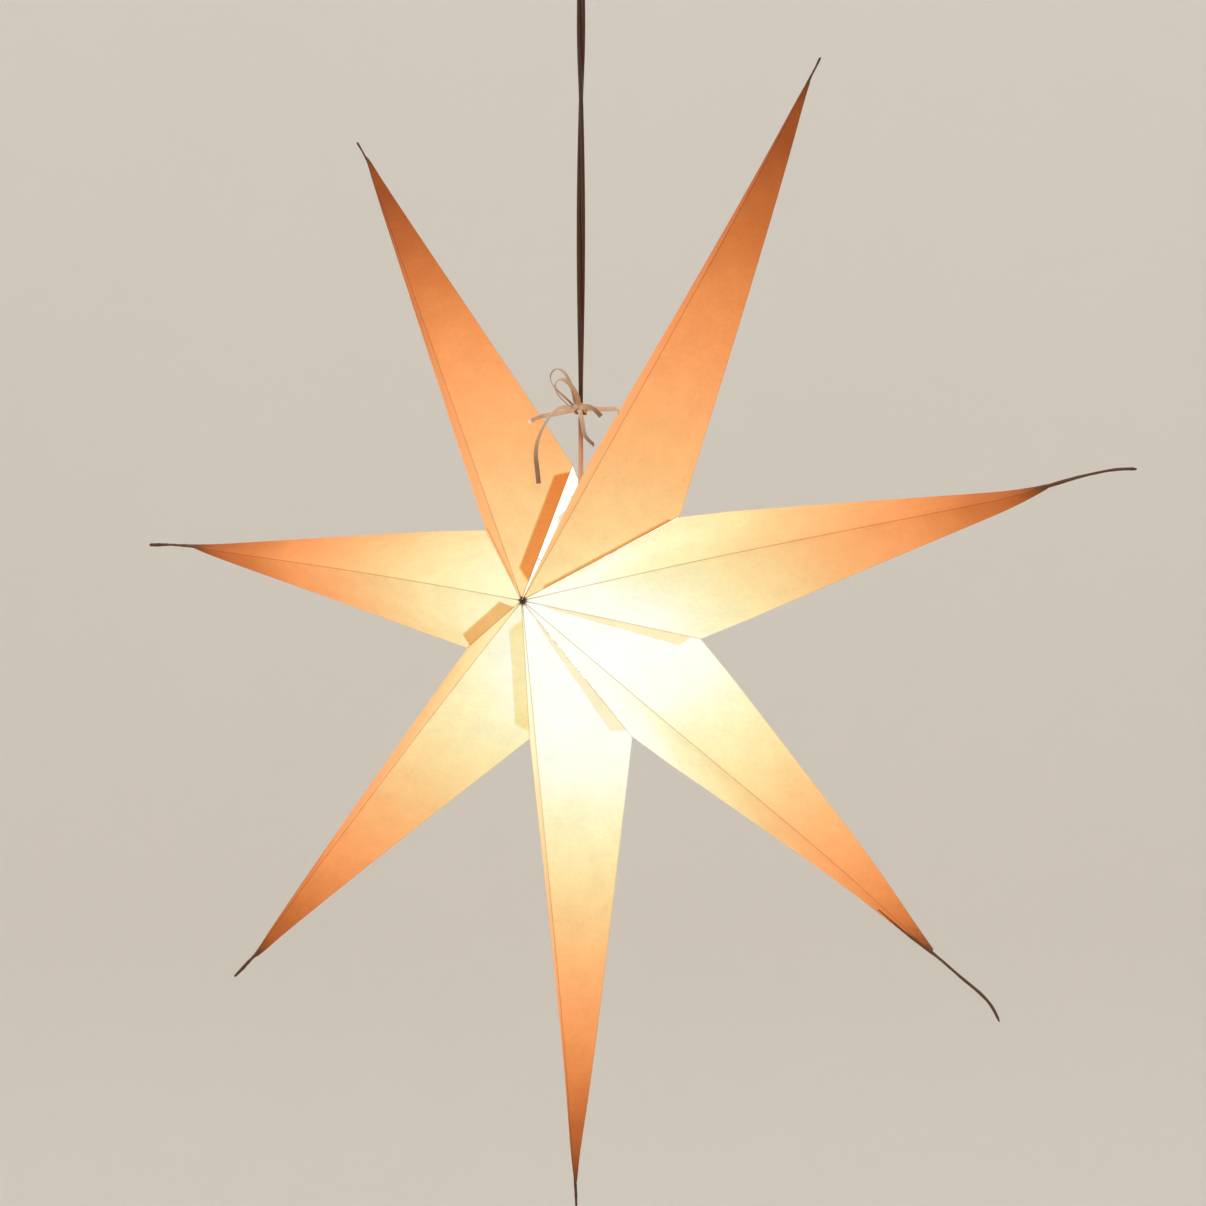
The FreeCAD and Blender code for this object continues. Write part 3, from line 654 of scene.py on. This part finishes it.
# how much farther from the lamp each ray looks, in millimetres, from the lampholder's shade and its slope
rayShade = {1: 78, 2: 20, 3: -6, 4: 0, 5: 36, 6: 42, 7: 80}
# and what the steepest panels add to it
panelShade = {(1, 1): 28, (2, -1): -6, (3, 1): -5, (3, -1): 8, (4, -1): 42, (5, -1): 40, (7, 1): 26}
# distance from the hub where each ray's paper begins to gather, where it ends, and its radius there
rayEnds = {1: (110, 335, 1.0), 2: (110, 302, 1.3), 3: (110, 301, 1.6), 4: (110, 336, 1.0),
           5: (110, 327, 1.6), 6: (110, 312, 1.1), 7: (110, 336, 1.0)}
# width in millimetres and strength of the painted shade band that a glued flap shows, by ray and side
flapShadowBands = {(1, 1): (2.5, 0.35), (1, -1): (1.5, 0.9), (2, 1): (8, 0.06), (3, 1): (8, 0.42), (4, 1): (8, 0.36),
             (5, 1): (8, 0.45), (6, 1): (8, 0.85), (7, 1): (7, 0.60), (7, -1): (8, 1.0)}
growingBands = (3, 4)  # on these rays the band starts as a thin line at the apex
# each ray's twisted end in millimetres: route of (along the ray from its tip, towards its counter-clockwise side,
# to the front), and its first and last radius
twistRoutes = {
    1: ([(-34, 1.6, 0.0), (-22, 1.3, 0.6), (-10, 0.6, 0.3), (0, 0, 0)], (1.1, 0.7)),
    2: ([(-76, 1.4, 1.0), (-54, 2.8, 0.9), (-36, 4.0, 0.9), (-18, 4.8, 0.4), (-6, 4.0, 0.0), (2, 2.0, 0)], (1.3, 0.8)),
    3: ([(-86, -6.2, 3.2), (-64, -4.8, 2.4), (-44, -3.2, 1.2), (-28, -2.4, 0.6), (-12, -1.2, 0.2), (-2, -2.6, 0.0),
         (4, -5.5, 0)], (1.3, 0.8)),
    4: ([(-46, -3.6, 1.6), (-32, -3.0, 1.0), (-16, -1.6, 0.4), (0, -0.8, 0)], (1.0, 0.8)),
    5: ([(-46, 0.8, 0.0), (-30, 1.2, 0.6), (-12, 0.4, 0.3), (0, 0, 0)], (2.1, 0.8)),
    6: ([(-58, -1.6, 0.0), (-36, -2.0, 0.6), (-16, -1.0, 0.3), (0, 0.4, 0)], (1.0, 1.1)),
    7: ([(-30, -1.2, 0.0), (-18, -1.4, 0.5), (-8, -0.6, 0.2), (0, 0, 0)], (1.1, 0.7)),
}


def lineGap(points, start, end):
    # distance of points from the line through start and end
    way = (end - start) / np.linalg.norm(end - start)
    offset = points - start
    return np.linalg.norm(offset - (offset @ way)[..., None] * way, axis=-1)


def wallsBetween(ring, count):
    # quads from a ring of points to the same ring on a second layer, whose points come count later
    after = np.roll(ring, -1)
    return np.stack([ring + count, after + count, after, ring], -1)


def sheetFaces(rows, columns, missing=None):
    # both layers of a grid and the walls between their rims; the squares at the missing point are left out
    count = rows * columns
    quads = gridFaces(rows, columns)
    if missing is not None:
        quads = quads[~np.any(quads == missing, axis=1)]
    index = np.arange(count).reshape(rows, columns)
    rim = np.concatenate([index[0, :-1], index[:-1, -1], index[-1, :0:-1], index[:0:-1, 0]])
    return [quads, quads[:, ::-1] + count, wallsBetween(rim, count)]


def gridTurn(points, normal):
    # positive if a grid's first square turns counter-clockwise about the normal
    return np.cross(points[1, 0] - points[0, 0], points[0, 1] - points[0, 0]) @ normal


def flapStrip(notch, apex, tip, normal):
    # points of the flap's two layers; it starts and ends short of the valley's ends and narrows away from it
    valley = np.linalg.norm(notch - apex)
    way = (notch - apex) / valley
    across = np.cross(normal, way)
    across *= np.sign(across @ (tip - apex))
    a, b = np.meshgrid(np.linspace(0, 1, flap["rows"]), np.linspace(flap["first"], 1, flap["columns"]), indexing="ij")
    reach = b * flap["wide"]
    length = valley - flap["start"] - flap["end"] + flap["spare"] - flap["closing"] * reach
    run = flap["start"] - flap["lead"] + reach * flap["slant"] + a * length
    strip = apex + run[..., None] * way + reach[..., None] * across
    thick = panelLook["thick"]
    return strip, [strip - normal * (thick + flap["gap"]), strip - normal * (2 * thick + flap["gap"])]


def makePanel(number, lateral, face):
    # Triangle of paper between apex, notch and tip. A point is (1 - u) * (apex + v * (notch - apex)) + u * tip,
    # with u stopped where the paper ends square to the ray; near the end it is drawn in towards the twist.
    look = panelLook
    tip, notch, apex, normal = panelCorners(lateral, face)
    gatherStart, paperEnd, endRadius = rayEnds[number]
    rows, columns = look["rows"], look["columns"]
    count = rows * columns
    t, v = np.meshgrid(np.linspace(0, 1, rows), np.linspace(0, 1, columns), indexing="ij")

    def surface(t, v, depth):
        last = (paperEnd - v * notch[0]) / (tip[0] - v * notch[0])
        u = t * last
        flat = (1 - u)[..., None] * (apex + v[..., None] * (notch - apex)) + u[..., None] * tip
        wave = np.sin(math.pi * np.clip(t, 0, 1)) * np.sin(math.pi * v) * \
            (look["waveLeast"] + look["waveSwing"] * np.sin(number * 1.7 + face + lateral * 0.6 + 5 * t))
        moved = flat - normal * (depth + look["pillow"] * wave)[..., None]
        # straight edges from gatherStart to the paper's end: the share kept is the drawn-in width over the plain one
        drawn = np.clip((flat[..., 0] - gatherStart) / (paperEnd - gatherStart), 0, 1)
        span = tip[0] - gatherStart
        endSpan = endRadius * np.array([(tip[0] - notch[0]) / abs(notch[1]), tip[0] / abs(apex[2])])
        kept = (span + (endSpan - span) * drawn[..., None]) / (tip[0] - flat[..., :1])
        kept = np.where(flat[..., :1] > gatherStart, kept, 1.0)
        folds = np.sin(v * look["pleats"] + number) * np.sin(v * math.pi)
        pleat = 1 + look["pleatDepth"] * drawn ** look["pleatRise"] * folds
        route = np.array(twistRoutes[number][0], float)
        shift = np.interp(flat[..., 0] - tip[0], route[:, 0], route[:, 1]) * drawn ** look["bendRise"]
        moved[..., 1] = moved[..., 1] * kept[..., 0] * pleat + shift
        moved[..., 2] = moved[..., 2] * kept[..., 1] * pleat
        return flat, moved

    outerFlat, outer = surface(t, v, np.zeros_like(t))
    inset = look["inset"] / (np.linalg.norm(notch - apex) * (1 - t * paperEnd / tip[0]) + 1)
    innerFlat, inner = surface(np.clip(t, look["innerStart"], 1), v * (1 - 2 * inset) + inset,
                               np.full_like(t, look["thick"]))
    flat, shape = np.stack([outerFlat, innerFlat]), np.stack([outer, inner])
    if (number, lateral) in seamSides:
        # the four squares round the grid point nearest to the tape's hole open into a round hole
        hole = tieHole(lateral, face)[0]
        i, j = np.unravel_index(np.argmin(np.linalg.norm(outerFlat - hole, axis=-1)), t.shape)
        a = i + np.array([-1, 0, 1, 1, 1, 0, -1, -1])
        b = j + np.array([-1, -1, -1, 0, 1, 1, 1, 0])
        for layer in (0, 1):
            way = flat[layer, a, b] - hole
            way -= (way @ normal)[:, None] * normal
            target = hole + way / np.linalg.norm(way, axis=1, keepdims=True) * star["holeRadius"]
            move = target - flat[layer, a, b]
            move -= (move @ normal)[:, None] * normal
            flat[layer, a, b] += move
            shape[layer, a, b] += move
        faces = sheetFaces(rows, columns, i * columns + j) + [wallsBetween(a * columns + b, count)]
    else:
        faces = sheetFaces(rows, columns)
    faces = np.concatenate(faces)
    flatAll, shapeAll = flat.reshape(-1, 3), shape.reshape(-1, 3)
    layerFlag = np.repeat([0.0, 1.0], count)
    wide, tone = flapShadowBands.get((number, lateral), (1.0, 0.0))
    if (lateral == 1) != ((number, lateral) in seamSides):
        strip, layers = flapStrip(notch, apex, tip, normal)
        extra = np.concatenate(sheetFaces(flap["rows"], flap["columns"]))
        if gridTurn(strip, normal) * gridTurn(outerFlat, normal) < 0:
            extra = extra[:, ::-1]
        faces = np.concatenate([faces, extra + len(flatAll)])
        stripPoints = np.concatenate([layer.reshape(-1, 3) for layer in layers])
        flatAll, shapeAll = np.concatenate([flatAll, stripPoints]), np.concatenate([shapeAll, stripPoints])
        layerFlag = np.r_[layerFlag, np.ones(len(stripPoints))]
    world = fromRay(number, shapeAll)
    lamp = hub / mm + np.array([0, 0, -star["lampBelowHub"]])
    distance = np.linalg.norm(world / mm - lamp, axis=1)
    shaded = np.clip((glowLook["reach"] - distance) / glowLook["span"], 0, glowLook["most"])
    seen = distance + (rayShade[number] + panelShade.get((number, lateral), 0)) * shaded
    seen = np.where(layerFlag > 0, distance * glowLook["insideShare"] + glowLook["insideAdd"], seen)
    valley = np.linalg.norm(notch - apex)
    valleyRun = (flatAll - apex) @ ((notch - apex) / valley)
    growth = np.clip(valleyRun / 95, 0.15, 1) if number in growingBands else np.ones(len(flatAll))
    values = {
        "glow": (seen - paperLook["near"]) / paperLook["span"],
        "ridgeGap": lineGap(flatAll, apex, tip), "outlineGap": lineGap(flatAll, notch, tip),
        "valleyGap": lineGap(flatAll, apex, notch), "valleyRun": valleyRun, "valleyRest": valley - valleyRun,
        "apexGap": np.linalg.norm(flatAll - apex, axis=1), "endGap": paperEnd - flatAll[:, 0],
        "flapWidth": wide * growth, "flapShadeAmount": np.where(layerFlag > 0, 0, tone),
    }
    # outer faces have to look outwards
    sample = faces[0]
    if np.cross(flatAll[sample[1]] - flatAll[sample[0]], flatAll[sample[3]] - flatAll[sample[0]]) @ normal < 0:
        faces = faces[:, ::-1]
    used = np.unique(faces)
    renumber = np.zeros(len(world), int)
    renumber[used] = np.arange(len(used))
    values = {label: data[used] for label, data in values.items()}
    name = f"{'front' if face > 0 else 'back'}_{'left' if lateral > 0 else 'right'}"
    piece = makePiece(f"paper_{number}_{name}", world[used], renumber[faces], f"ray_{number}_{name}", paperFinish,
                      values)
    piece.data.set_sharp_from_angle(angle=math.radians(35))
    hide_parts(f"ray_{number}_{name}")


for number in range(1, star["rayCount"] + 1):
    for lateral in (1, -1):
        for face in (1, -1):
            makePanel(number, lateral, face)
print("paper panels ready")

# twisted, glued ends of the rays
twist = {"flat": 0.72, "wring": 5.0, "lumps": 0.10}
for number, (route, radii) in twistRoutes.items():
    local, length = routePath(f"twist_{number}", route, 80, scale=1.0)
    path = fromRay(number, local + [star["tipRadius"] / mm, 0, 0])
    angle = np.linspace(0, fullTurn, 14, endpoint=False)
    outline = np.c_[np.cos(angle), twist["flat"] * np.sin(angle)] * mm
    outline *= (1 + 0.12 * np.cos(3 * angle))[:, None]
    share = np.linspace(0, 1, len(path))
    size = radii[0] + (radii[1] - radii[0]) * share
    size *= 1 + twist["lumps"] * np.sin(share * 17 + number * 2) * np.sin(share * 31 + number)
    size *= np.clip(0.25 + (1 - share) * 30, 0, 1) ** 0.5
    piece = sweptPiece(f"twist_{number}", path, outline, (0, -1, 0.02), "hanger" if number == 4 else f"ray_{number}",
                       twistFinish, "paper_tail", turn=share * twist["wring"], scale=size)
    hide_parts(f"ray_{number}_tip")
print("twisted ends ready")


def heights(node):
    # lowest and highest point of a node in millimetres
    low, high = boxOf(node, mm)
    return low[2], high[2]


def picked(look, *labels):
    return [look[label] for label in labels]


def fluted(angle, look):
    return look["flute"] * (np.cos(angle * look["flutes"]) - 1)


# ceiling cup and its cord grip
cup = {"radius": 38.0, "foot": 20.0, "wall": 1.8, "straight": 19.0, "groove": 0.5, "hole": 7.1}
outer, foot, wall, straight, groove, hole = picked(cup, "radius", "foot", "wall", "straight", "groove", "hole")
cupBottom, top = heights("ceiling_cup")
cupProfile = [(outer, top), (outer, top - 3.5), (outer - groove, top - 4.1), (outer - groove, top - 5.0),
              (outer, top - 5.6), (outer, -straight), (foot, cupBottom), (hole, cupBottom), (hole, cupBottom + wall),
              (foot - wall / 2, cupBottom + wall), (outer - wall, wall / 2 - straight), (outer - wall, top)]
piece = lathe("cup_shell", roundedProfile(cupProfile, 2.2, 6), "ceiling_cup", cupFinish, 128)
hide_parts("ceiling_cup")

grip = {"bore": 3.0, "neck": 5.0, "body": 7.0, "flange": 10.0, "flangeThick": 2.5, "flangeGap": 0.05, "ribs": 4,
        "ribbed": 6.5, "ribDepth": 0.45, "flutes": 14, "flute": 0.35}
bore, neck, body, flange = picked(grip, "bore", "neck", "body", "flange")
bottom, top = heights("cord_grip")
flangeBottom, flangeTop = cupBottom - grip["flangeThick"], cupBottom - grip["flangeGap"]
ribs = np.linspace(0, 1, 4 * grip["ribs"] + 1)
ribRadius = neck + (body - neck) * ribs - grip["ribDepth"] * (np.arange(len(ribs)) % 4 > 1)
gripProfile = np.concatenate([
    [(bore, bottom)], np.c_[ribRadius, bottom + grip["ribbed"] * ribs],
    [(body, flangeBottom), (flange, flangeBottom), (flange, flangeTop), (body, flangeTop), (body, top), (bore, top)]])
piece = lathe("grip_body", roundedProfile(gripProfile, 0.5, 3), "ceiling_cup", cupFinish, 112,
              lambda angle, radius, height: np.where(radius > body + 1.5, fluted(angle, grip), 0))
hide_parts("cord_grip")
print("ceiling cup ready")

# lampholder: cap, body and the brass thread inside
holder = {"radius": 14.0, "wall": 1.6, "throat": 6.0, "collar": 6.0, "cone": 7.0, "bore": 3.0, "mouth": 13.0,
          "plug": 0.2, "floor": 3.0, "flutes": 36, "flute": 0.15, "fluteRadius": 12.9}
outer, wall, throat, bore, mouth = picked(holder, "radius", "wall", "throat", "bore", "mouth")
capBottom, capTop = heights("lampholder_cap")
shoulder, inner = capTop - holder["collar"], outer - wall
coneEnd = shoulder - holder["cone"]
capProfile = [(bore, capTop), (throat, capTop), (throat, shoulder), (outer, coneEnd), (outer, capBottom),
              (inner, capBottom), (inner, coneEnd - 1.5), (throat - wall, shoulder - 1.5), (bore, shoulder - 1.5)]
piece = lathe("holder_cap", roundedProfile(capProfile, 1.4, 5), "hanger", holderFinish, 144)
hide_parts("lampholder_cap")
bodyBottom, bodyTop = heights("lampholder_body")
spigot, floorLow = inner - holder["plug"], capBottom - holder["floor"]
bodyProfile = [(spigot, bodyTop), (spigot, capBottom), (outer, capBottom), (outer - 0.1, capBottom - 3),
               (outer - 0.5, capBottom - 3.5), (outer - 0.55, capBottom - 4.5), (outer - 0.2, capBottom - 5),
               (mouth, bodyBottom), (mouth - wall, bodyBottom), (mouth - wall, floorLow), (bore, floorLow),
               (bore, capBottom), (spigot - wall, capBottom), (spigot - wall, bodyTop)]
piece = lathe("holder_body", denser(roundedProfile(bodyProfile, 0.7, 4), 2.0), "hanger", holderFinish, 144,
              lambda angle, radius, height: np.where(
                  (radius > holder["fluteRadius"]) & (height < capBottom - 7) & (height > bodyBottom + 3),
                  fluted(angle, holder), 0))
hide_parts("lampholder_body")

thread = {"pitch": 2.8, "depth": 0.25, "wall": 0.8, "end": 1.0, "step": 0.35, "innerShare": -0.3}


def threaded(angle, height):
    return thread["depth"] / 2 * (np.sin(angle + height / thread["pitch"] * fullTurn) - 1)


low, high = boxOf("thread_sleeve", mm)
outer, bottom, top = high[0], low[2], high[2]
inner, ledge = outer - thread["wall"], top - thread["end"]
sleeveProfile = [(outer, top), (outer, bottom), (inner, bottom), (inner, ledge), (throat, ledge), (throat, top)]
piece = lathe("sleeve_thread", denser(sleeveProfile, thread["step"]), "hanger", brassFinish, 72,
              lambda angle, radius, height: np.where(
                  (radius > inner - 0.1) & (height < ledge - 0.6) & (height > bottom + 0.8),
                  threaded(angle, height) * np.where(radius > outer - 0.4, 1, thread["innerShare"]), 0))
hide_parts("thread_sleeve")
print("lampholder ready")

# bulb: opal glass and screw cap
bulb = {"radius": 22.5, "neck": 9.1, "straight": 3.0, "shoulder": 14.0, "waist": 0.6, "cap": 7.0, "capWall": 0.4,
        "collar": 9.6, "skirt": 2.5, "collarLength": 1.6}
ballRadius, neck, shoulder = picked(bulb, "radius", "neck", "shoulder")
bottom, top = heights("bulb_glass")
ballMiddle, neckEnd = bottom + ballRadius, top - bulb["straight"]
fall = np.linspace(0, 1, 26)[1:-1]
neckCurve = np.c_[neck + (math.sqrt(ballRadius ** 2 - shoulder ** 2) - neck) * fall
                  - bulb["waist"] * 4 * fall * (1 - fall), neckEnd + (ballMiddle + shoulder - neckEnd) * fall]
swing = np.linspace(math.asin(shoulder / ballRadius), -math.pi / 2 + 0.02, 48)
ball = np.c_[ballRadius * np.cos(swing), ballMiddle + ballRadius * np.sin(swing)]
neckTop = [(0.3, top), (neck - 0.4, top), (neck, top - 0.4), (neck, neckEnd)]
piece = lathe("glass_globe", np.concatenate([neckTop, neckCurve, ball]), "bulb", glassFinish, 96, solid=True)
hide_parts("bulb_glass")
cap, wall, collar = picked(bulb, "cap", "capWall", "collar")
bottom, top = heights("bulb_screw_cap")
collarTop = bottom + bulb["collarLength"]
threadEnd = bottom + bulb["skirt"] + bulb["collarLength"]
capProfile = [(cap, top), (cap, threadEnd), (collar, collarTop), (collar, bottom), (collar - wall, bottom),
              (collar - wall, collarTop), (cap - wall, threadEnd), (cap - wall, top)]
piece = lathe("cap_thread", denser(capProfile, thread["step"]), "bulb", nickelFinish, 72,
              lambda angle, radius, height: np.where(
                  (radius < cap + 0.05) & (height > threadEnd + 0.8) & (height < top - 0.8),
                  threaded(angle, height), 0))
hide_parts("bulb_screw_cap")
print("bulb ready")

# parts carried over from the frame
finishes = {
    "centre_contact": brassFinish, "bulb_insulator": insulatorFinish, "bulb_contact": nickelFinish,
    "bulb_stem": filamentFinish, "ceiling_bracket": steelFinish, "terminal_block": whiteFinish,
}
for name, finish in finishes.items():
    data = nodes[name].data
    data.materials.clear()
    data.materials.append(finish)

# screws of the terminal block, slotted, in its recesses
block = {"pitch": 9.0, "radius": 1.45, "depth": 1.6, "slot": 0.5, "slotDepth": 0.5, "sunk": 1.2, "sides": 40}
low, high = boxOf("terminal_block", mm)
middle = (low[2] + high[2]) / 2
angle = np.linspace(0, fullTurn, block["sides"], endpoint=False)
rings = np.array([0.05, 0.45, 0.8, 1.0, 1.0]) * block["radius"]
depth = np.array([0.0, 0.0, 0.05, 0.3, block["depth"]])
x, z = rings[:, None] * np.cos(angle), rings[:, None] * np.sin(angle)
sunk = np.where((np.abs(z) < block["slot"] / 2) & (depth[:, None] < 0.2), block["slotDepth"], 0.0)
for side in (1, -1):
    for way in (1, -1):
        face = way * (high[1] - block["sunk"])
        y = face - way * (depth[:, None] + sunk)
        points = np.stack([x + side * block["pitch"] / 2, y, z + middle], -1).reshape(-1, 3) * mm
        quads = gridFaces(len(rings), block["sides"], wrap=True)
        ring = np.arange(block["sides"])
        caps = [ring[::-1], ring + (len(rings) - 1) * block["sides"]]
        if way < 0:
            quads, caps = quads[:, ::-1], [c[::-1] for c in caps]
        makePiece(f"block_screw_{'right' if side > 0 else 'left'}_{'back' if way > 0 else 'front'}", points, quads,
                  "hanger", brassFinish, fan=caps)
print("fittings ready")

# studio
studio = {"floor": -2.4, "radius": 4.0, "bend": 1.5, "wall": 5.0, "sides": 96, "sky": (1.0, 0.98, 0.95),
          "skyStrength": 1.2}
bend = np.linspace(0, math.pi / 2, 14)
bowl = np.concatenate([[[0.02, 0.0], [studio["radius"] * 0.5, 0.0]],
                       np.c_[studio["radius"] + studio["bend"] * np.sin(bend), studio["bend"] * (1 - np.cos(bend))],
                       [[studio["radius"] + studio["bend"], studio["bend"] + studio["wall"]]]])
angle = np.linspace(0, fullTurn, studio["sides"], endpoint=False)
bowlPoints = np.stack([bowl[:, :1] * np.cos(angle), bowl[:, :1] * np.sin(angle),
                       np.repeat(bowl[:, 1:], len(angle), 1) + studio["floor"]], -1).reshape(-1, 3)
backdrop, backdropTree, backdropShader = newMaterial("backdrop", Roughness=0.9)
wallGrain = placed(backdropTree, grain, Vector=coords(backdropTree), Cloud=1.5, Tooth=60.0, Amount=0.04)
feed(backdropTree, backdropShader["Base Color"],
     mixed(backdropTree, "MULTIPLY", 1.0, (0.74, 0.71, 0.67, 1), wallGrain["Shade"]))
floorMesh = bpy.data.meshes.new("studio_floor")
bowlFaces = gridFaces(len(bowl), len(angle), wrap=True)[:, ::-1]
floorMesh.from_pydata(bowlPoints, [], bowlFaces.tolist() + [list(range(len(angle)))])
floorMesh.materials.append(backdrop)
floorMesh.shade_smooth()
floor = bpy.data.objects.new("studio_floor", floorMesh)
scene.collection.objects.link(floor)

world = bpy.data.worlds.new("studio")
world.use_nodes = True
sky = world.node_tree.nodes["Background"].inputs
sky["Color"].default_value = (*studio["sky"], 1)
sky["Strength"].default_value = studio["skyStrength"]
scene.world = world

lights = {"key": {"place": (-1.6, -2.0, 1.0), "size": 1.8, "power": 34, "colour": (1.0, 0.96, 0.90)},
          "fill": {"place": (2.4, -1.2, -0.2), "size": 2.0, "power": 14, "colour": (0.95, 0.97, 1.0)},
          "rear": {"place": (-0.4, 2.4, 0.6), "size": 2.0, "power": 20, "colour": (1.0, 0.97, 0.93)}}
for name, light in lights.items():
    lampData = bpy.data.lights.new(name, "AREA")
    lampData.shape, lampData.size = "DISK", light["size"]
    lampData.energy, lampData.color = light["power"], light["colour"]
    lampObject = bpy.data.objects.new(name, lampData)
    scene.collection.objects.link(lampObject)
    lampObject.location = light["place"]
    lampObject.rotation_euler = (Vector(light["place"]) - Vector(hub)).to_track_quat("Z", "Y").to_euler()
print("studio ready")
